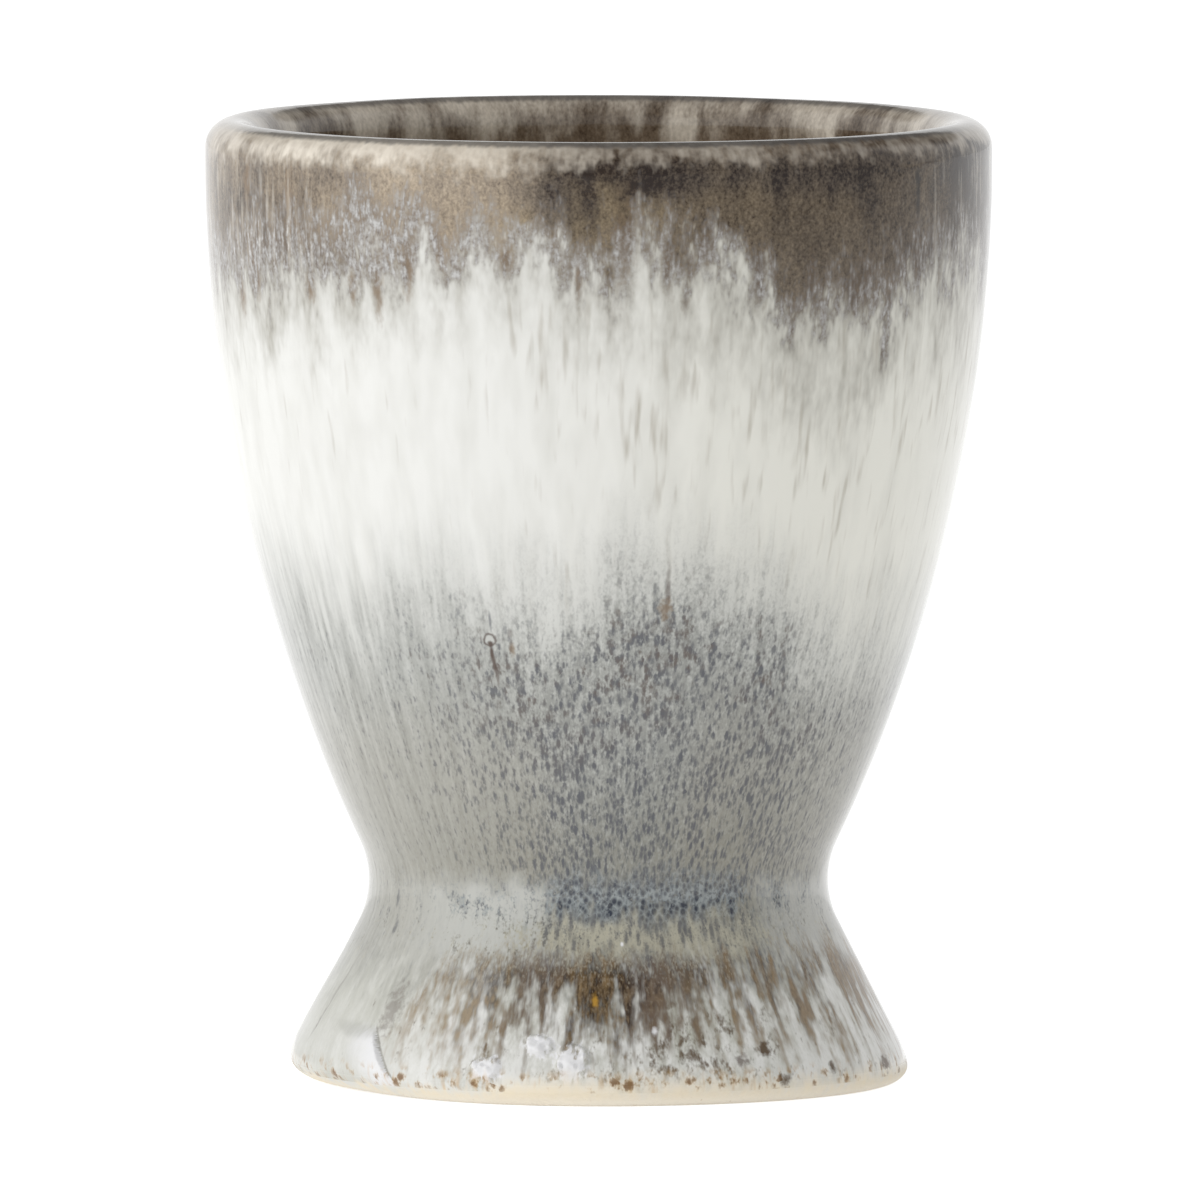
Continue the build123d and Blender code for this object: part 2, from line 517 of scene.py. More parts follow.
def close_pole(rings, normals, at_last):
    """Puts one vertex on the axis in the place of a ring that has no width."""
    end, beside = (-1, -2) if at_last else (0, 1)
    rings[end] = rings[end].mean(axis=0, keepdims=True)
    mean = normals[beside].mean(axis=0, keepdims=True)
    normals[end] = mean / np.linalg.norm(mean)


def coat(name, outline, first, last, lift_at, segments, row_height):
    """A closed shell of glaze over a stretch of outline, with relief on its face and plain underneath."""
    turns = np.linspace(-pi, pi, segments, endpoint=False)
    rows = round((last - first) / row_height) + 1
    s = np.linspace(first, last, rows)
    step = s[1] - s[0]
    wide = np.concatenate(([first - step], s, [last + step]))
    warped = lift_at is outer_relief
    face_wide = ring_points(outline, wide, turns, lift_at, 0.0, warped)
    face_normals = list(ring_normals(face_wide)[1:-1])
    face = list(face_wide[1:-1])
    under_rows = np.linspace(0, rows - 1, rows // ROWS_PER_UNDER_ROW).round().astype(int)[::-1]
    under_grid = ring_points(outline, s[under_rows], turns, None, GLAZE_THICKNESS, warped)
    under_normals = list(ring_normals(under_grid))
    under = list(under_grid)
    radius = outline.places(s)[:, 0]
    for at_last in (True, False):
        if radius[-1 if at_last else 0] < POLE_RADIUS:
            close_pole(face, face_normals, at_last)
            close_pole(under, under_normals, not at_last)
    piece = shell(name, face + under)
    strips = round(sqrt(2 * pi * radius.mean() / (last - first)))
    lay_out(piece, face + under, rows - 1, strips)
    piece.data.normals_split_custom_set_from_vertices(np.concatenate(face_normals + under_normals).tolist())
    return piece


def foot_body():
    """The stoneware foot, whose wiped ring shows under the glaze."""
    clay_outside, clay_recess = clay_outlines()
    turns = np.linspace(-pi, pi, FOOT_SEGMENTS, endpoint=False)
    ring_height = WIPE_HEIGHT * np.linspace(0.0, 1.0, RING_ROWS)[:, None] ** 2 * np.ones_like(turns)
    ring_radius = foot_edge(ring_height, np.broadcast_to(turns, ring_height.shape))
    ring = np.stack((ring_radius * np.sin(turns), -ring_radius * np.cos(turns), ring_height), axis=2)
    under_glaze = clay_outside.distance_at(WIPE_HEIGHT)
    rows_up = np.linspace(under_glaze, clay_outside.distance_where(above_seat), CLAY_ROWS)
    rows_down = np.linspace(clay_recess.distance_where(above_seat), clay_recess.length, CLAY_ROWS)
    up = ring_points(clay_outside, rows_up, turns, None, 0.0, True)
    down = ring_points(clay_recess, rows_down, turns, None, 0.0, False)
    piece = shell("foot_body", list(ring) + list(up) + list(down))
    piece.data.set_sharp_from_angle(angle=SHARP_ANGLE)
    return piece


# Materials


def colour(red, green, blue):
    """A colour as it is seen on a screen, from 0 to 255, as the linear colour that shaders take."""
    seen = np.array((red, green, blue)) / 255
    linear = np.where(seen <= 0.04045, seen / 12.92, ((seen + 0.055) / 1.055) ** 2.4)
    return (*linear.tolist(), 1.0)


MILK = colour(243, 243, 239)
MILK_SHADE = colour(204, 203, 194)
BISCUIT = colour(150, 138, 116)
WARM_MILK = colour(246, 245, 235)
VEIL = colour(176, 173, 162)
MIST = colour(198, 197, 195)
MIST_BROWN = colour(106, 94, 84)
TAN = colour(200, 182, 158)
OLIVE_TAN = colour(194, 174, 140)
DARK_WARM = colour(52, 34, 6)
DARK_COOL = colour(32, 18, 13)
WALL_DARK = colour(66, 52, 40)
WALL_BROWN = colour(130, 114, 96)
KHAKI = colour(132, 105, 70)
TONGUE_TAN = colour(126, 102, 72)
TONGUE_BROWN = colour(86, 70, 52)
BLACK_BROWN = colour(28, 20, 16)
CREAM = colour(240, 231, 216)
LIP_GREY_AND_DARK_REFLECTION = colour(76, 73, 71)
ASH = colour(203, 204, 199)
DEEP_ASH = colour(158, 159, 154)
LOW_ASH = colour(148, 147, 137)
LOW_WARM = colour(160, 151, 130)
SLATE = colour(72, 75, 86)
UMBER = colour(84, 66, 56)
SLATE_BLUE = colour(44, 52, 68)
FEATHER_BLUE = colour(158, 165, 166)
STRAW = colour(186, 182, 164)
FOOT_BROWN = colour(58, 45, 33)
FOOT_WARM = colour(144, 119, 81)
FOOT_PURPLE = colour(108, 95, 86)
FOOT_PALE = colour(236, 236, 232)
FOOT_GREY = colour(190, 190, 179)
FOOT_BLOT = colour(86, 64, 36)
# Dark line of painted shadow beside the fold's edge and of painted reflection near the foot's left edge
SHADOW_AND_REFLECTION_LINE = colour(140, 136, 128)
LUMP_WHITE = colour(246, 246, 248)
RUST = colour(122, 88, 50)
GOLD = colour(198, 152, 62)
BUFF = colour(247, 235, 211)
CLAY = colour(250, 243, 229)
CLAY_SPECK = colour(190, 162, 126)

# Where brown glaze runs out of the rim's dip: degrees right of the front, height, half width and half length
TONGUES = (
    (-65.7, 49.6, 0.37, 0.93),
    (-62.6, 56.9, 0.34, 1.65),
    (-62.0, 52.3, 0.44, 1.06),
    (-60.5, 50.7, 0.31, 0.87),
    (-51.3, 56.1, 0.29, 1.96),
    (-47.2, 50.5, 0.34, 0.84),
    (-38.7, 50.7, 0.23, 0.84),
    (-34.2, 50.8, 0.28, 1.49),
    (-28.8, 52.1, 0.29, 1.8),
    (-23.9, 53.3, 0.22, 0.87),
    (-13.5, 52.8, 0.34, 0.81),
    (-2.9, 51.5, 0.15, 1.4),
    (3.8, 53.8, 0.52, 2.8),
    (10.1, 52.5, 0.31, 1.55),
    (12.8, 50.4, 0.21, 0.84),
    (15.6, 53.5, 0.32, 1.18),
    (24.0, 51.4, 0.34, 1.46),
    (32.6, 51.5, 0.21, 1.4),
    (40.9, 50.6, 0.61, 1.46),
    (43.2, 51.6, 0.35, 1.65),
    (53.9, 52.2, 0.39, 2.08),
    (60.2, 53.0, 0.26, 2.64),
)

# A pinhole: degrees right of the front, height, half width and half length
PINHOLE = (-19.4, 29.0, 0.34, 0.36)

# Small stains: degrees right of the front, height, half width, half length, colour and strength
STAINS = (
    (-19.3, 28.75, 0.2, 0.16, UMBER, 0.95),
    (-19.25, 28.1, 0.13, 0.6, UMBER, 0.95),
    (-18.95, 27.4, 0.14, 0.65, UMBER, 0.9),
    (-18.6, 26.7, 0.12, 0.6, UMBER, 0.6),
    (-19.0, 30.2, 0.1, 0.6, SLATE, 0.6),
    (-15.4, 28.5, 0.2, 0.5, KHAKI, 0.6),
    (-15.5, 29.4, 0.2, 0.3, UMBER, 0.4),
    (11.7, 32.0, 0.17, 2.0, UMBER, 0.6),
    (11.5, 31.0, 0.45, 0.6, KHAKI, 0.6),
    (-0.7, 6.4, 0.26, 0.5, GOLD, 0.8),
    (11.4, 4.6, 0.24, 0.26, LUMP_WHITE, 0.9),
    (5.5, 9.8, 0.14, 0.14, LUMP_WHITE, 0.9),
    (53.8, 56.3, 0.2, 1.5, BLACK_BROWN, 0.8),
    (53.8, 57.4, 0.35, 0.5, BLACK_BROWN, 0.7),
    (-47.0, 5.6, 0.9, 1.4, FOOT_PURPLE, 0.5),
    (-60.0, 12.0, 0.25, 0.5, SLATE_BLUE, 0.5),
    (-58.0, 10.3, 0.25, 0.5, SLATE_BLUE, 0.5),
    (34.0, 3.3, 0.5, 0.5, FOOT_BLOT, 0.95),
    (37.3, 1.4, 0.4, 0.4, FOOT_BLOT, 0.95),
    (68.9, 1.75, 0.7, 0.5, FOOT_BLOT, 0.9),
    (18.4, 3.2, 0.45, 0.45, FOOT_BLOT, 0.7),
    (28.4, 2.7, 0.5, 0.4, FOOT_PURPLE, 0.8),
    (49.6, 1.9, 0.3, 0.4, FOOT_BLOT, 0.9),
)


def plug(tree, value, socket):
    """Links a field to a socket, or sets the socket to a plain value."""
    if isinstance(value, Field):
        tree.links.new(value.socket, socket)
    else:
        socket.default_value = value


def add_node(tree, kind, inputs, output=0, **settings):
    """Makes a node, feeds its inputs and gives one of its outputs as a field."""
    node = tree.nodes.new(kind)
    for key, value in settings.items():
        setattr(node, key, value)
    for key, value in inputs.items():
        plug(tree, value, node.inputs[key])
    return Field(tree, node.outputs[output])


class Field:
    """A value over a surface: a node's socket, with sums, products and soft steps."""

    def __init__(self, tree, socket):
        self.tree = tree
        self.socket = socket

    def math(self, operation, other):
        return add_node(self.tree, "ShaderNodeMath", {0: self, 1: other}, operation=operation)

    def __add__(self, other):
        return self.math("ADD", other)

    def __sub__(self, other):
        return self.math("SUBTRACT", other)

    def __mul__(self, other):
        return self.math("MULTIPLY", other)

    def over(self, other):
        """The larger of two values."""
        return self.math("MAXIMUM", other)

    def rest(self):
        """What is left of one."""
        return (self * -1.0) + 1.0

    def step(self, low, high):
        """Zero at one value, one at the other and soft between them; it falls where low is the larger."""
        inputs = {"Value": self, "From Min": low, "From Max": high}
        return add_node(self.tree, "ShaderNodeMapRange", inputs, "Result", interpolation_type="SMOOTHSTEP")

    def band(self, low, high, soft):
        """One between two values and zero beyond them, with soft ends."""
        return self.step(low - soft, low + soft) * self.step(high + soft, high - soft)

    def parts(self):
        """The three parts of a field of vectors."""
        first = add_node(self.tree, "ShaderNodeSeparateXYZ", {0: self})
        return [Field(self.tree, socket) for socket in first.socket.node.outputs]


class Ware:
    """A material on the cup, with fields in millimetres on the cup or rolled out on a cylinder."""

    def __init__(self, name):
        self.material = bpy.data.materials.new(name)
        self.material.use_nodes = True
        self.tree = self.material.node_tree
        self.shader = self.tree.nodes["Principled BSDF"]
        self.shown = None
        place = self.make("ShaderNodeTexCoord", {}, "Object")
        self.place = self.vector_math("SCALE", {0: place, "Scale": 1 / MM})
        x, y, self.height = self.place.parts()
        flat = self.make("ShaderNodeCombineXYZ", {0: x, 1: y})
        to_right, to_back, _ = self.vector_math("NORMALIZE", {0: flat}).parts()
        self.radius = self.vector_math("LENGTH", {0: flat}, "Value")
        rolled = {0: to_right * ROLL_RADIUS, 1: to_back * ROLL_RADIUS, 2: self.height}
        self.rolled = self.make("ShaderNodeCombineXYZ", rolled)
        self.turn = to_right.math("ARCTAN2", to_back * -1.0) * (1 / (2 * pi)) + 0.5
        self.degrees = (self.turn - 0.5) * 360.0

    def make(self, kind, inputs, output=0, **settings):
        return add_node(self.tree, kind, inputs, output, **settings)

    def vector_math(self, operation, inputs, output=0):
        return self.make("ShaderNodeVectorMath", inputs, output, operation=operation)

    def scattered(self, vector, sizes, seed):
        """Places in units of some sizes, moved on by a seed so that each pattern is its own."""
        inputs = {0: vector, 1: [1 / size for size in sizes], 2: (seed * SEED_STEP,) * 3}
        return self.vector_math("MULTIPLY_ADD", inputs)

    def noise(self, vector, sizes, seed, detail):
        """Noise about zero whose swings have the given size along each axis."""
        inputs = {"Vector": self.scattered(vector, sizes, seed), "Scale": 1.0, "Detail": detail}
        return self.make("ShaderNodeTexNoise", inputs, "Fac") - 0.5

    def grain(self, size, seed, detail=2.0):
        """Noise about zero with swings of one size in every direction."""
        return self.noise(self.place, (size, size, size), seed, detail)

    def runs(self, width, length, seed, detail=1.5):
        """Noise about zero in marks that run down the ware, so wide and so long."""
        return self.noise(self.rolled, (width, width, length), seed, detail)

    def cells(self, width, length, seed):
        """Distance from the nearest of many points, so far apart across and down, and that point's luck."""
        inputs = {"Vector": self.scattered(self.rolled, (width, width, length), seed), "Scale": 1.0}
        distance = self.make("ShaderNodeTexVoronoi", inputs, "Distance")
        luck = Field(self.tree, distance.socket.node.outputs["Color"])
        return distance, luck.parts()[0]

    def by_turn(self, stops):
        """A value that changes round the ware: its stops are given in degrees to the right of the front."""
        low, high = min(stops.values()), max(stops.values())
        ends = (stops[min(stops)] + stops[max(stops)]) / 2
        curved = self.make("ShaderNodeFloatCurve", {"Value": self.turn})
        mapping = curved.socket.node.mapping
        curve = mapping.curves[0]
        for point in curve.points:
            point.location.y = (ends - low) / (high - low)
        for degrees, value in stops.items():
            curve.points.new(degrees / 360 + 0.5, (value - low) / (high - low))
        for point in curve.points:
            point.handle_type = "AUTO_CLAMPED"
        mapping.update()
        return curved * (high - low) + low

    def mark(self, degrees, height, width, length):
        """Distance from a place on the ware, which is one at the edge of an oval so wide and long."""
        turn = radians(degrees)
        sizes = (width, width, length)
        middle = (ROLL_RADIUS * sin(turn), -ROLL_RADIUS * cos(turn), height)
        place = self.vector_math("MULTIPLY", {0: self.rolled, 1: [1 / size for size in sizes]})
        middle = [part / size for part, size in zip(middle, sizes)]
        return self.vector_math("DISTANCE", {0: place, 1: middle}, "Value")

    def mix(self, first, second, share):
        return self.make("ShaderNodeMix", {0: share, 6: first, 7: second}, 2, data_type="RGBA")

    def lay(self, tint, share):
        """Lays a colour over what the ware shows so far."""
        self.shown = self.mix(self.shown, tint, share)

    def bump(self, height, distance):
        normal = self.make("ShaderNodeBump", {"Height": height, "Distance": distance})
        plug(self.tree, normal, self.shader.inputs["Normal"])

    def paint(self, roughness):
        plug(self.tree, self.shown, self.shader.inputs["Base Color"])
        plug(self.tree, roughness, self.shader.inputs["Roughness"])
        return self.material


def nearest(ware, places):
    """Distance from the nearest of some oval marks."""
    found = ware.mark(*places[0])
    for place in places[1:]:
        found = found.math("MINIMUM", ware.mark(*place))
    return found


def white_stretch(ware):
    """The white glaze of the middle, with soft upright streaks and a few biscuit flecks."""
    streaks = ware.runs(0.8, 2.6, 21)
    long_streaks = ware.runs(1.4, 9.0, 23)
    warm = ware.by_turn({-90: 0.3, -40: 0.0, 0: 0.3, 45: 1.0, 90: 0.8})
    shade = ware.by_turn({-85: 0.16, -50: 0.1, -20: 0.11, 10: 0.09, 40: 0.02, 80: 0.03})
    ware.shown = ware.mix(MILK, WARM_MILK, warm)
    ware.lay(MILK_SHADE, shade + streaks * 0.45 + long_streaks * 0.65)
    crowd = ware.by_turn({-60: -0.08, -10: 0.0, 15: 0.05, 70: 0.05}) - ware.height.step(46.0, 36.0) * 0.06
    flecks = ware.runs(0.45, 3.2, 22) + crowd + long_streaks * 0.3
    ware.lay(BISCUIT, flecks.step(0.04, 0.42) * 0.6)


def lower_stretch(ware):
    """The grey glaze of the lower bowl, crowded with slate and umber flecks at the front."""
    z = ware.height
    finest = ware.runs(0.14, 0.2, 37)
    fine = ware.runs(0.26, 0.45, 31)
    hairs = ware.runs(0.4, 3.0, 32)
    runs = ware.runs(1.4, 6.0, 33, 3.0)
    clouds = ware.runs(5.0, 5.0, 34)
    top = ware.by_turn({
        -90: 33.0, -67: 33.0, -50: 31.0, -28: 33.2, -18: 31.6, -8: 31.5, 0: 32.3, 9: 34.2, 15: 33.8,
        24: 32.9, 36: 31.0, 55: 28.8,
    })
    front = ware.by_turn({
        -90: 0.3, -47: 0.45, -29: 0.6, -14: 0.86, 0: 1.0, 15: 1.0, 30: 1.0, 46: 0.86, 70: 0.6,
    })
    speckled = ware.by_turn({
        -90: 0.15, -60: 0.18, -42: 0.38, -28: 0.72, -16: 0.95, -6: 1.0, 42: 1.0, 60: 0.8, 90: 0.3,
    })
    smooth_side = speckled.rest()
    depth = top - z + runs * 5.0 + clouds * 4.0 + hairs * 3.0
    deep = depth.step(-2.0, 8.0) * front
    mottled = ware.by_turn({-90: 0.25, -40: 0.3, -18: 0.6, 0: 1.0, 42: 1.0, 90: 0.3})
    mottle = (finest * 1.6 + fine * 1.6) * mottled + hairs
    streaks = ware.runs(0.5, 7.0, 38) * 1.8 + 0.16
    ground = ware.mix(ASH, DEEP_ASH, deep * 0.85 + mottle + smooth_side * streaks + 0.12)
    low = (z + clouds * 8.0).step(23.0, 12.0)
    ground = ware.mix(ground, LOW_ASH, low * (front + (finest * 1.2 + fine) * mottled))
    warm = ware.by_turn({-90: 0.25, -30: 0.25, -12: 0.15, 0: 0.0, 18: 0.1, 30: 0.25, 90: 0.25})
    ground = ware.mix(ground, LOW_WARM, (z + clouds * 8.0).band(8.0, 24.0, 4.0) * (warm + clouds * 0.3))
    ware.lay(ground, depth.step(-6.0, 5.0))
    distance, chance = ware.cells(0.3, 0.66, 36)
    crowd = deep * 0.26 + hairs * 0.5 + clouds * 0.35 + fine * 0.9 + finest * 0.7
    crowd = crowd + chance * 0.36 - smooth_side * 0.22 - 0.1
    marked = (distance - crowd).step(0.44, -0.28) * depth.step(-2.0, 6.0)
    umber = (ware.grain(0.9, 35) + clouds * 0.5).step(-0.05, 0.25) * z.step(18.0, 27.0)
    share = marked * (front * 0.36 + chance * 0.2 + 0.28) * (speckled * 0.4 + 0.6)
    ware.lay(ware.mix(SLATE, UMBER, umber), share)


def waist(ware):
    """A feathered slate-blue band at the front of the waist, and straw-coloured glaze under it."""
    z = ware.height
    finest = ware.runs(0.16, 0.15, 42)
    fine = ware.runs(0.32, 0.28, 41)
    drips = ware.runs(0.8, 2.2, 43)
    clouds = ware.runs(2.5, 1.5, 44)
    front = ware.by_turn({-60: 0.0, -26: 0.15, -14: 0.5, -4: 1.0, 28: 1.0, 38: 0.6, 50: 0.2, 90: 0.0})
    front = (front + clouds * 1.6 + drips * 1.2 + fine * 1.6 + finest * 1.2).step(0.05, 1.0)
    pale = ware.by_turn({-85: 0.0, -50: 0.5, -20: 0.8, -12: 0.4, -5: 0.0, 34: 0.0, 46: 0.5, 60: 0.6})
    ware.lay(ASH, (z + clouds * 3.0).band(8.6, 13.2, 1.0) * pale)
    level = z + clouds * 2.2 + drips * 3.0
    ware.lay(STRAW, level.band(9.0, 11.6, 0.9) * front * (fine * 1.2 + finest * 0.8 + 0.95))
    blue = level.band(11.3, 13.8, 1.1) * front
    speck, chance = ware.cells(0.42, 0.4, 45)
    marked = (speck - fine * 1.2 - finest - chance * 0.4).step(0.5, -0.2)
    feathers = ware.mix(FEATHER_BLUE, SLATE_BLUE, marked - fine * 2.4 - finest * 2.0 + drips * 0.8 + 0.2)
    ware.lay(feathers, blue * 0.9)
    trail, chance = ware.cells(0.5, 1.3, 46)
    trails = (trail - drips * 0.6 - fine * 0.8 - finest * 0.6 - chance * 0.3).step(0.46, -0.06)
    ware.lay(SLATE, trails * level.band(8.8, 11.8, 0.9) * front * 0.7)


def foot_brown(ware, flecks, finest, clouds):
    """The brown at the top of the front of the foot, which runs out downwards in ragged fingers."""
    z = ware.height
    runs = ware.runs(0.7, 3.2, 52, 3.0)
    long_runs = ware.runs(1.3, 6.0, 59)
    fibres = ware.runs(0.24, 0.5, 57)
    top = ware.by_turn({
        -80: 2.0, -47: 4.0, -41: 6.9, -33: 8.8, -18: 9.1, 0: 8.9, 25: 8.9, 38: 9.2, 55: 9.1, 72: 9.0,
    })
    low = ware.by_turn({
        -80: 7.0, -47: 6.0, -39: 4.8, -30: 4.2, -20: 4.5, -8: 5.2, 4: 4.8, 14: 5.4, 25: 5.8, 40: 5.4,
        65: 4.9,
    })
    whole = ware.by_turn({-60: 1.0, 22: 1.0, 34: 0.0, 75: 0.0})
    under_top = top - z + flecks * 2.0 + fibres * 2.6 + clouds + runs * whole.rest() * 3.0
    ragged = ware.by_turn({-60: 0.5, -26: 0.65, -16: 1.0, 60: 1.0})
    over_low = z - low + (runs * 10.0 + long_runs * 6.0) * ragged + flecks * 4.5 + fibres * 2.2
    solid = ware.by_turn({
        -60: 0.3, -42: 0.56, -26: 0.6, -18: 0.76, -12: 0.76, -4: 0.76, 5: 0.84, 12: 0.8, 22: 0.74, 34: 0.52,
        45: 0.56, 60: 0.64, 75: 0.66,
    })
    filled = solid + (runs * 2.4 + long_runs * 2.2) * ragged + clouds * 0.8 + flecks * 1.2
    filled = filled + under_top.step(2.6, 0.0) * whole * 0.3
    most = ware.by_turn({-60: 0.4, -44: 0.74, -26: 0.78, -18: 0.9, 8: 1.0, 22: 0.92, 36: 0.9, 60: 0.94})
    share = under_top.step(-0.9, 1.1) * over_low.step(-3.0, 2.4) * filled.step(0.05, 0.95) * most
    warm = ware.by_turn({
        -60: 0.9, -34: 0.8, -22: 0.5, -12: 0.4, -4: 0.34, 2: 0.25, 8: 0.35, 25: 0.5, 40: 0.55, 65: 0.65,
    })
    warm = warm + clouds * 1.5 + flecks * 1.6 + fibres * 1.4 + finest * 0.8 + runs * 1.4 - share * 0.1
    tone = ware.mix(FOOT_BROWN, FOOT_WARM, warm)
    purple = ware.by_turn({
        -60: -0.1, -28: -0.1, -18: 0.5, -13: 0.6, -6: 0.1, 3: 0.0, 9: 0.6, 20: 0.4, 30: 0.1, 60: 0.05,
    })
    tone = ware.mix(tone, FOOT_PURPLE, purple + clouds + fibres)
    grey = (fibres * 1.6 + finest * 1.6 + flecks) * under_top.step(2.5, 0.0) + finest * 0.5
    tone = ware.mix(tone, FOOT_GREY, grey)
    ware.lay(tone, share)


def wiped(ware):
    """How far the glaze is rubbed off towards the resting plane, through to the cream of the clay."""
    edge = ware.by_turn({-80: 1.4, -45: 1.3, -20: 1.8, 0: 2.7, 25: 2.7, 40: 1.9, 60: 2.1, 80: 1.8})
    return (ware.height + ware.runs(3.0, 3.0, 53) * 1.6 + ware.runs(0.55, 0.9, 51) * 1.2).step(edge, 0.3)


def past_line(ware, foot_degrees, lean_degrees):
    """Degrees to the right of a line that leans on its way up from the resting plane."""
    return ware.degrees - (ware.height * lean_degrees + foot_degrees)


def foot_stretch(ware):
    """The foot: brown at the top of the front, running out into pale grey, and cream at the wiped edge."""
    z = ware.height
    flecks = ware.runs(0.55, 0.9, 51)
    finest = ware.runs(0.18, 0.26, 50)
    streaks = ware.runs(0.9, 5.0, 58)
    clouds = ware.runs(3.0, 3.0, 53)
    grey = ware.by_turn({
        -75: 0.55, -45: 0.42, -34: 0.12, -22: 0.15, -14: 0.25, 10: 0.25, 30: 0.25, 45: 0.3, 75: 0.15,
    })
    grey = grey + z.step(2.5, 7.0) * 0.3
    lively = ware.by_turn({-75: 0.35, -45: 0.35, -30: 0.8, 20: 1.0, 40: 0.7, 75: 0.6})
    grey = grey + (streaks * 1.6 + clouds * 1.8 + flecks + finest * 0.8) * lively
    pale = ware.mix(FOOT_PALE, FOOT_GREY, grey)
    ware.lay(pale, (z + clouds * 4.0 + flecks * 3.0).step(10.0, 5.0))
    crowd = ware.by_turn({
        -80: -0.14, -45: -0.12, -25: -0.08, 0: -0.02, 8: 0.02, 16: 0.05, 26: 0.01, 34: -0.04, 75: -0.06,
    })
    blots = ware.runs(0.6, 0.75, 54, 2.5) + clouds * 0.5 + finest * 0.4 + crowd
    ware.lay(FOOT_BLOT, blots.step(0.04, 0.36) * z.band(1.3, 6.5, 0.8) * 0.85)
    foot_brown(ware, flecks, finest, clouds)
    for degrees, height, width, length in LUMPS:
        patch = ware.mark(degrees, height, width, length) + flecks * 2.0 + finest * 1.5
        ware.lay(LUMP_WHITE, patch.step(1.45, 0.85) * 0.9)
    past_fold = past_line(ware, FOLD_FOOT_DEGREES, FOLD_LEAN_DEGREES)
    flap = past_fold.step(0.2, -0.1) * (past_fold + clouds * 10.0 + flecks * 4.0).step(-12.0, -2.0)
    ware.lay(LUMP_WHITE, flap * (z + flecks * 1.5).step(4.8, 3.4) * 0.85)
    # Painted shadow: a thin dark line beside the fold's edge, where the raised flap shades the glaze.
    fold_shadow = (past_fold + finest * 0.8).band(0.1, 0.5, 0.2) * z.step(4.7, 4.3) * z.step(0.3, 1.2)
    ware.lay(SHADOW_AND_REFLECTION_LINE, fold_shadow * 0.6)
    # Painted reflection: a thin dark line near the foot's left edge, where a reflection's edge falls.
    past_dark_reflection = past_line(ware, DARK_REFLECTION_FOOT_DEGREES, DARK_REFLECTION_LEAN_DEGREES) + flecks * 2.0
    ware.lay(SHADOW_AND_REFLECTION_LINE, past_dark_reflection.band(-0.4, 0.4, 0.4) * z.band(3.4, 7.8, 0.8) * 0.6)
    ware.lay(BUFF, wiped(ware))
    drips = (ware.runs(0.45, 2.0, 49) + clouds * 0.6).step(0.06, 0.3) * z.band(0.6, 2.0, 0.6)
    ware.lay(GOLD, drips * 0.4)
    dot, chance = ware.cells(0.8, 0.7, 55)
    dots = dot - chance * 0.4 - clouds * 0.9 - flecks - finest * 0.8
    ware.lay(GOLD, dots.step(0.25, -0.1) * z.band(0.9, 2.1, 0.5) * 0.35)
    ware.lay(RUST, dots.step(0.12, -0.25) * z.band(0.9, 1.9, 0.4) * 0.85)


def rim_tone(ware, grain, clouds, right):
    """The browns of the rim dip: tan on the left, nearly black blots at the front and dark on the right."""
    z = ware.height
    runs = ware.runs(1.0, 5.0, 67)
    dark = ware.by_turn({
        -90: 0.65, -75: 0.67, -62: 0.72, -54: 0.67, -40: 0.55, -26: 0.38, -18: 0.38, -12: 0.49, -5: 0.79,
        0: 0.9, 12: 0.86, 25: 0.87, 38: 0.87, 53: 0.9, 62: 0.98, 70: 1.02,
    })
    front = ware.by_turn({-90: 0.0, -22: 0.0, -12: 0.8, -5: 1.0, 3: 1.0, 12: 0.5, 40: 0.2, 90: 0.0})
    upper = (z + clouds * 6.0 + runs * 3.0).step(54.8, 58.4)
    uneven = ware.by_turn({-90: 0.5, -50: 0.5, -30: 0.32, 0: 0.22, 90: 0.22})
    level = dark + (clouds + runs) * uneven + (upper - 0.5) * front * 0.26
    bottom = ware.mix(DARK_WARM, DARK_COOL, upper * 0.8 + right * 0.3 - 0.15)
    light = ware.mix(TAN, OLIVE_TAN, upper.rest() * (front + 0.2))
    return ware.mix(light, bottom, level + grain * (level * -0.75 + 1.08))


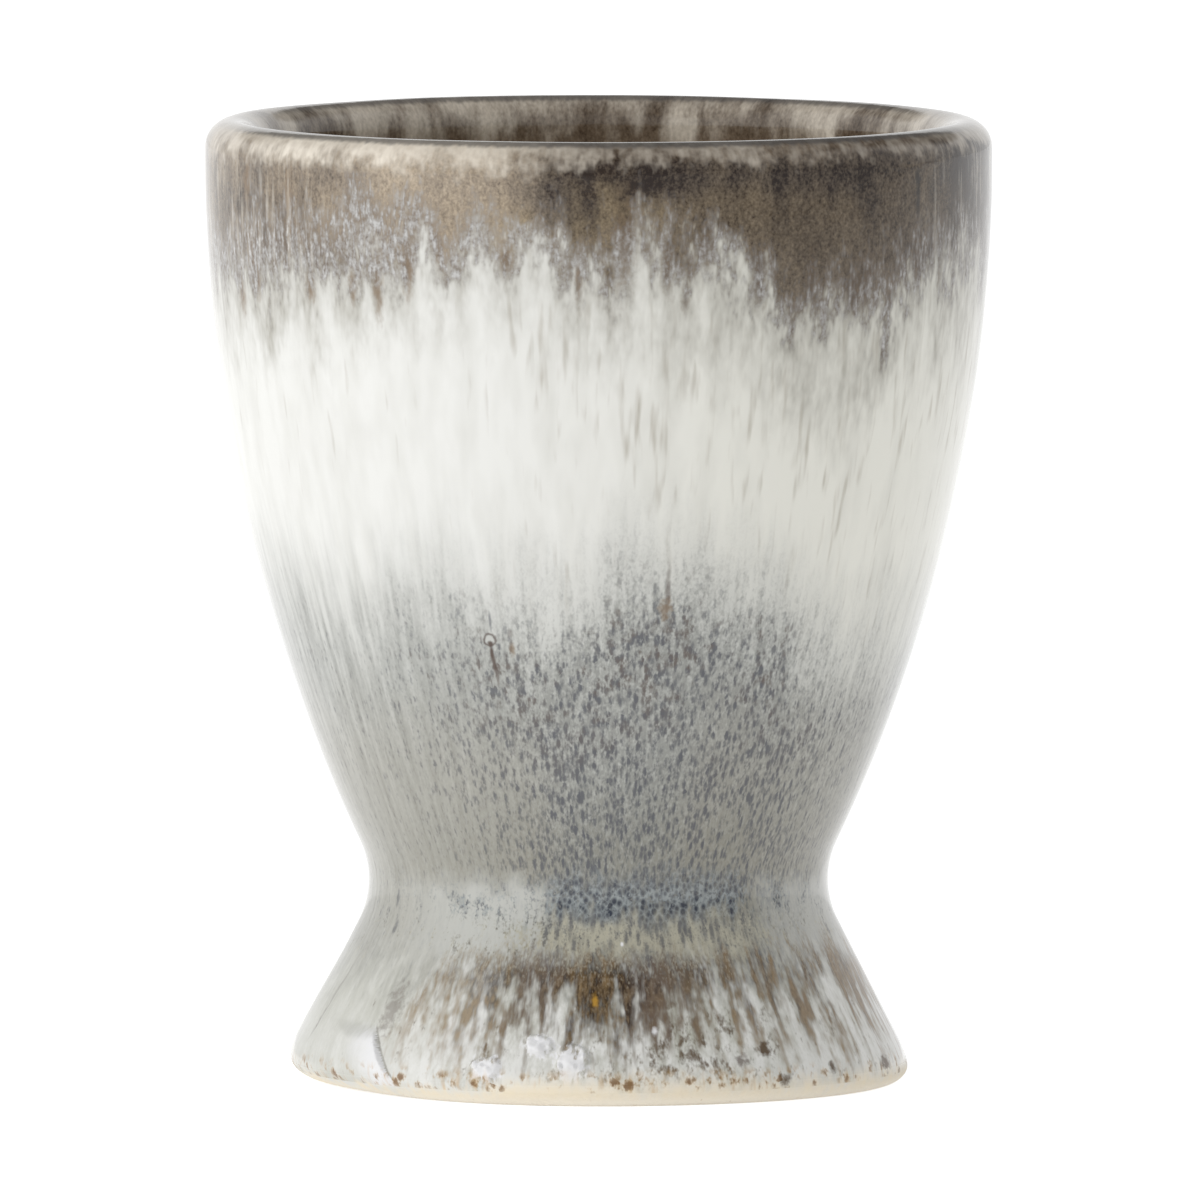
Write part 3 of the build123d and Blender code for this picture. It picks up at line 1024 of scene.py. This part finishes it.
def rim_stretch(ware):
    """The brown dip over the lip: it breaks to cream on the shoulders and runs out over the white below."""
    z = ware.height
    finest = ware.runs(0.13, 0.17, 70)
    fine = ware.runs(0.2, 0.3, 69)
    hairs = ware.runs(0.22, 0.8, 60)
    flecks = ware.runs(0.34, 0.9, 61)
    fingers = ware.runs(0.8, 3.2, 63, 2.5)
    broad = ware.runs(2.0, 6.0, 62)
    clouds = ware.runs(4.0, 3.5, 64)
    grain = fine * 0.9 + finest * 0.8 + flecks * 0.4
    right = ware.by_turn({-90: 0.3, -60: 0.0, -14: 0.2, 8: 0.75, 50: 1.0, 90: 0.6})
    edge = ware.by_turn({
        -90: 51.0, -71: 51.4, -55: 52.0, -40: 52.2, -26: 53.2, -12: 53.6, 0: 52.9, 12: 52.8, 24: 50.5,
        38: 49.0, 53: 51.0, 68: 52.0, 85: 51.0,
    })
    reach = right * 3.0 + 4.0
    above = z - edge + fingers * reach + broad * (reach + 2.0) + flecks * 1.6
    veiled = ware.by_turn({
        -90: 0.95, -60: 0.9, -30: 0.7, -10: 0.56, 12: 0.66, 26: 0.74, 38: 0.79, 48: 0.63, 60: 0.74,
    })
    veil = above.step(right * -3.0 - 7.5, 1.0) * (veiled + fingers + broad * 0.6 + flecks * 0.8 + 0.05)
    ware.lay(VEIL, veil)
    tone = rim_tone(ware, grain, clouds, right)
    ware.lay(tone, (above + hairs * 3.0 + flecks * 3.0).step(-1.5, 2.0))
    tongue = nearest(ware, TONGUES) + fingers + flecks * 1.4 + hairs * 0.8 + fine * 0.6
    ware.lay(ware.mix(TONGUE_TAN, TONGUE_BROWN, right + grain), tongue.step(1.7, 0.0) * 0.85)
    depth = ware.by_turn({
        -90: 2.6, -54: 3.4, -40: 3.6, -26: 2.6, -12: 1.4, 0: 1.4, 25: 2.0, 40: 2.6, 60: 3.0,
    })
    misted = (above + flecks * 3.0).step(-2.4, 0.4) * (above - depth + flecks * 4.0).step(1.8, -1.4)
    pale = hairs * 1.8 + flecks * 0.8 + fine * 1.6 + finest * 0.8 + right * -0.1 + 0.38
    mist = ware.mix(MIST_BROWN, MIST, pale)
    ware.lay(mist, misted * (hairs * 2.0 + flecks + right * -0.25 + 0.75))
    inside = ware.radius.step(23.2, 22.0)
    # Painted reflection: light and dark upright streaks on the rim's left and right sides, where the
    # studio's bright sides show in the glaze.
    sides = ware.by_turn({-90: 1.0, -66: 1.0, -44: 0.5, -32: 0.0, 52: 0.0, 64: 1.0, 90: 1.0})
    sides = sides * z.step(50.5, 53.0) * inside.rest()
    reflection_streaks = ware.runs(0.35, 3.5, 77, 2.0) + ware.runs(0.6, 14.0, 78) * right
    ware.lay(CREAM, sides * (reflection_streaks * 1.5 - 0.03))
    ware.lay(DARK_WARM, sides * (reflection_streaks * -1.5 - 0.05))
    amount = ware.by_turn({
        -90: 0.5, -60: 0.62, -45: 0.78, -25: 0.7, -12: 0.52, 0: 0.32, 12: 0.22, 18: 0.3, 25: 0.18, 40: 0.08,
        60: 0.2, 80: 0.36,
    })
    streaked = ware.runs(1.0, 30.0, 66, 2.5)
    blotches = ware.grain(1.4, 68)
    small = ware.grain(0.45, 73)
    shoulder_foot = ware.by_turn({-90: 57.7, -12: 57.7, 5: 58.3, 90: 58.3})
    shoulder = (z + blotches * 2.0 + small * 0.5 + flecks * 1.2).step(shoulder_foot, 59.4) * inside.rest()
    ware.lay(WALL_BROWN, shoulder * 0.4)
    ware.lay(CREAM, shoulder * (amount + blotches * 0.7 + small * 0.3 + flecks * 0.5))
    patches = ware.runs(2.2, 5.0, 65)
    wall = ware.mix(WALL_DARK, WALL_BROWN, patches * 1.5 + streaked * 0.2 + grain * 0.9 + 0.6)
    fringe = (z + streaked * 2.0 + patches * 7.0 + flecks * 1.5).step(56.8, 59.6)
    wall = ware.mix(wall, CREAM, fringe * (patches * 0.9 + streaked * 0.6 + fine * 0.5 + 0.42))
    ware.lay(wall, inside * (z + streaked * 8.0).step(51.0, 55.0))
    # Grey over the top of the lip: darker glaze there, with more of it at the front and back as painted dark
    # reflection and less at the sides.
    lip = ware.by_turn({
        -140: 0.7, -90: 0.2, -72: 0.4, -58: 0.75, -35: 0.7, 0: 0.75, 50: 0.8, 70: 0.6, 90: 0.2, 140: 0.7,
    })
    ware.lay(LIP_GREY_AND_DARK_REFLECTION, (z + flecks * 0.3).step(59.6, 59.86) * lip)


def small_marks(ware):
    """Small faults of the firing: a pinhole and its run, dark runs, blots, a gold spot and white specks."""
    wobble = ware.grain(0.4, 75)
    pin = ware.mark(*PINHOLE) + wobble * 0.6
    ware.lay(ASH, pin.step(1.0, 0.6))
    ware.lay(UMBER, pin.band(0.9, 1.2, 0.25) * 0.9)
    for degrees, height, width, length, stain, strength in STAINS:
        spot = ware.mark(degrees, height, width, length) + wobble * min(width * 6.0, 2.5)
        ware.lay(stain, spot.step(1.4, 0.3) * strength)


def reactive_glaze():
    """The glaze on the outside and over the lip, one pattern that runs on from piece to piece."""
    ware = Ware("reactive_glaze")
    white_stretch(ware)
    lower_stretch(ware)
    waist(ware)
    foot_stretch(ware)
    rim_stretch(ware)
    small_marks(ware)
    peel = ware.grain(0.9, 71)
    ware.bump(peel + ware.grain(0.2, 72) * 0.2, OUTSIDE_PEEL)
    bare = ware.height.step(1.9, 0.9)
    return ware.paint(peel * 0.05 + bare * 0.4 + 0.05)


def liner_glaze():
    """The glaze in the hollow: white with upright streaks, under the brown rim, and grey where it pooled."""
    ware = Ware("liner_glaze")
    white_stretch(ware)
    runs = ware.runs(1.0, 8.0, 81)
    pool = (ware.radius + ware.grain(3.0, 82) * 5.0).step(13.0, 5.0)
    ware.lay(ASH, (ware.height + runs * 16.0).step(34.0, 22.0) * 0.4)
    ware.lay(FEATHER_BLUE, pool * 0.5)
    rim_stretch(ware)
    peel = ware.grain(0.9, 83)
    ware.bump(peel, HOLLOW_PEEL)
    return ware.paint(peel * 0.12 + 0.16)


def underside_glaze():
    """The thin pale glaze in the hollow under the foot, with grey clouds."""
    ware = Ware("underside_glaze")
    clouds = ware.grain(4.0, 91)
    ware.shown = ware.mix(MILK, ASH, (clouds + ware.grain(0.8, 92) * 0.5).step(-0.2, 0.3))
    ware.bump(ware.grain(0.9, 93), HOLLOW_PEEL)
    return ware.paint(clouds * 0.15 + 0.24)


def stoneware():
    """Bare fired clay: cream, matt and finely speckled, with a film of glaze left at the top of the ring."""
    ware = Ware("stoneware")
    specks = ware.grain(0.3, 101).step(0.16, 0.26)
    ware.shown = ware.mix(CLAY, CLAY_SPECK, specks * 0.5 + ware.grain(5.0, 102) * 0.3)
    outer = ware.radius.step(16.5, 17.0)
    ware.lay(BUFF, ware.height.step(0.1, 0.9) * outer)
    ware.lay(FOOT_PALE, wiped(ware).rest() * outer)
    ware.bump(ware.grain(0.25, 103), CLAY_TOOTH)
    return ware.paint(ware.grain(0.5, 104) * 0.2 + 0.6)


def slip():
    """The dried slip of the joint: the same clay, smoother and a little greyer."""
    ware = Ware("slip")
    ware.shown = ware.mix(CLAY, ASH, ware.grain(1.5, 111).step(-0.2, 0.4) * 0.4)
    ware.bump(ware.grain(0.6, 112), SLIP_TOOTH)
    return ware.paint(ware.grain(0.8, 113) * 0.2 + 0.8)


# Pieces

outside = outer_outline()
recess = recess_outline()
lip_top = outside.distance_at(HEIGHT - LEVEL_TOLERANCE)
foot_top = outside.distance_at(FOOT_BAND_TOP)
lower_top = outside.distance_at(LOWER_BAND_TOP)
body_top = outside.distance_at(BODY_BAND_TOP)
rim_end = outside.distance_at(BODY_BAND_TOP, after=lip_top)

outer_material = reactive_glaze()
stoneware_material = stoneware()
coats = {
    "foot_glaze": (outside, 0.0, foot_top, outer_relief, FOOT_SEGMENTS, FOOT_ROW_HEIGHT, outer_material),
    "lower_glaze": (outside, foot_top, lower_top, outer_relief, SEGMENTS, ROW_HEIGHT, outer_material),
    "body_glaze": (outside, lower_top, body_top, outer_relief, SEGMENTS, ROW_HEIGHT, outer_material),
    "rim_glaze": (outside, body_top, rim_end, outer_relief, SEGMENTS, ROW_HEIGHT, outer_material),
    "liner_glaze": (outside, rim_end, outside.length, swell, SEGMENTS, ROW_HEIGHT, liner_glaze()),
    "underside_glaze": (recess, 0.0, recess.length, swell, SEGMENTS, ROW_HEIGHT, underside_glaze()),
}
for node, (outline, first, last, lift_at, segments, row_height, material) in coats.items():
    piece = coat(f"{node}_coat", outline, first, last, lift_at, segments, row_height)
    piece.data.materials.append(material)
    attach(piece, "root")
    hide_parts(node)

foot = foot_body()
foot.data.materials.append(stoneware_material)
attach(foot, "root")
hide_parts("foot")

for node, material in (("bowl", stoneware_material), ("joint_slip", slip())):
    bpy.data.objects[node].data.materials.clear()
    bpy.data.objects[node].data.materials.append(material)


# Stage, light and camera


def rays(tree, kind):
    """One for rays of a kind and zero for others."""
    return add_node(tree, "ShaderNodeLightPath", {}, f"Is {kind} Ray")


def seen_by_eye(tree):
    """One for rays that show a thing, straight or in a reflection, and zero for rays that only light one."""
    return rays(tree, "Camera").over(rays(tree, "Glossy")).over(rays(tree, "Transmission"))


def near_end(place, reaches):
    """The dim end of the studio, in front and to the right, as far as reflections show it."""
    right, back, _ = place.parts()
    return (right * NEAR_TO_RIGHT - back * NEAR_TO_FRONT).step(*reaches)


def build_world():
    """A white studio all round; reflections show its dark ceiling and dim near end between bright sides."""
    world = bpy.data.worlds.new("studio")
    bpy.context.scene.world = world
    world.use_nodes = True
    tree = world.node_tree
    background = tree.nodes["Background"]
    direction = add_node(tree, "ShaderNodeTexCoord", {}, "Generated")
    sideways, _, upward = direction.parts()
    level = seen_by_eye(tree) * (1.0 - AMBIENT) + AMBIENT
    near = near_end(direction, WORLD_NEAR_REACH)
    overhead = upward.step(CEILING_LOW, near * CEILING_NEAR_RISE + CEILING_HIGH)
    ceiling = overhead * (sideways * sideways).step(*CEILING_SIDES)
    lit = (ceiling * CEILING_SHADE).rest() * (near * NEAR_SHADE).rest()
    dim = lit.rest() * rays(tree, "Glossy")
    plug(tree, level * dim.rest(), background.inputs["Strength"])
    background.inputs["Color"].default_value = WHITE


def build_floor():
    """A white table that keeps the cup's soft shadow."""
    mesh = bpy.data.meshes.new("floor")
    half = FLOOR_SIZE / 2
    corners = [(-half, -half, 0), (half, -half, 0), (half, half, 0), (-half, half, 0)]
    mesh.from_pydata(corners, [], [(0, 1, 2, 3)])
    floor = add_object("floor", mesh)
    material = bpy.data.materials.new("floor")
    material.use_nodes = True
    tree = material.node_tree
    inputs = tree.nodes["Principled BSDF"].inputs
    inputs["Base Color"].default_value = FLOOR_COLOUR
    inputs["Roughness"].default_value = FLOOR_ROUGHNESS
    inputs["Specular IOR Level"].default_value = 0.0
    inputs["Emission Color"].default_value = WHITE
    place = add_node(tree, "ShaderNodeNewGeometry", {}, "Position")
    dim = near_end(place, FLOOR_NEAR_REACH) * FLOOR_NEAR_SHADE * rays(tree, "Glossy")
    glow = seen_by_eye(tree) * (FLOOR_GLOW - FLOOR_LIGHT) + FLOOR_LIGHT - dim
    plug(tree, glow, inputs["Emission Strength"])
    mesh.materials.append(material)


def aim(added, place, direction):
    """Puts a lamp or a camera in its place and points it in a direction."""
    added.location = place
    added.rotation_mode = "QUATERNION"
    added.rotation_quaternion = direction.to_track_quat("-Z", "Y")


def build_lamp(name, place, size, power):
    """A square lamp that faces the cup and that reflections don't show."""
    data = bpy.data.lights.new(name, "AREA")
    data.size = size
    data.energy = power
    lamp = add_object(name, data)
    aim(lamp, place, Vector((0.0, 0.0, VIEW_HEIGHT)) - Vector(place))
    lamp.visible_glossy = False


def build_camera():
    """The photograph's view, from far off, with the rim as wide in the picture as it is there."""
    data = bpy.data.cameras.new("camera")
    camera = add_object("camera", data)
    frame_width = 2 * RIM_RADIUS * PHOTO_WIDTH / RIM_PIXELS
    aside = (PHOTO_WIDTH / 2 - AXIS_PIXEL) * frame_width / PHOTO_WIDTH
    back = Vector((0.0, -cos(VIEW_ELEVATION), sin(VIEW_ELEVATION)))
    aim(camera, Vector((aside, 0.0, VIEW_HEIGHT)) + VIEW_DISTANCE * back, -back)
    data.sensor_width = SENSOR_WIDTH
    data.lens = data.sensor_width * VIEW_DISTANCE / frame_width
    bpy.context.scene.camera = camera


build_world()
build_floor()
build_lamp("key", KEY_PLACE, KEY_SIZE, KEY_POWER)
build_camera()
bpy.context.scene.view_settings.view_transform = "Standard"
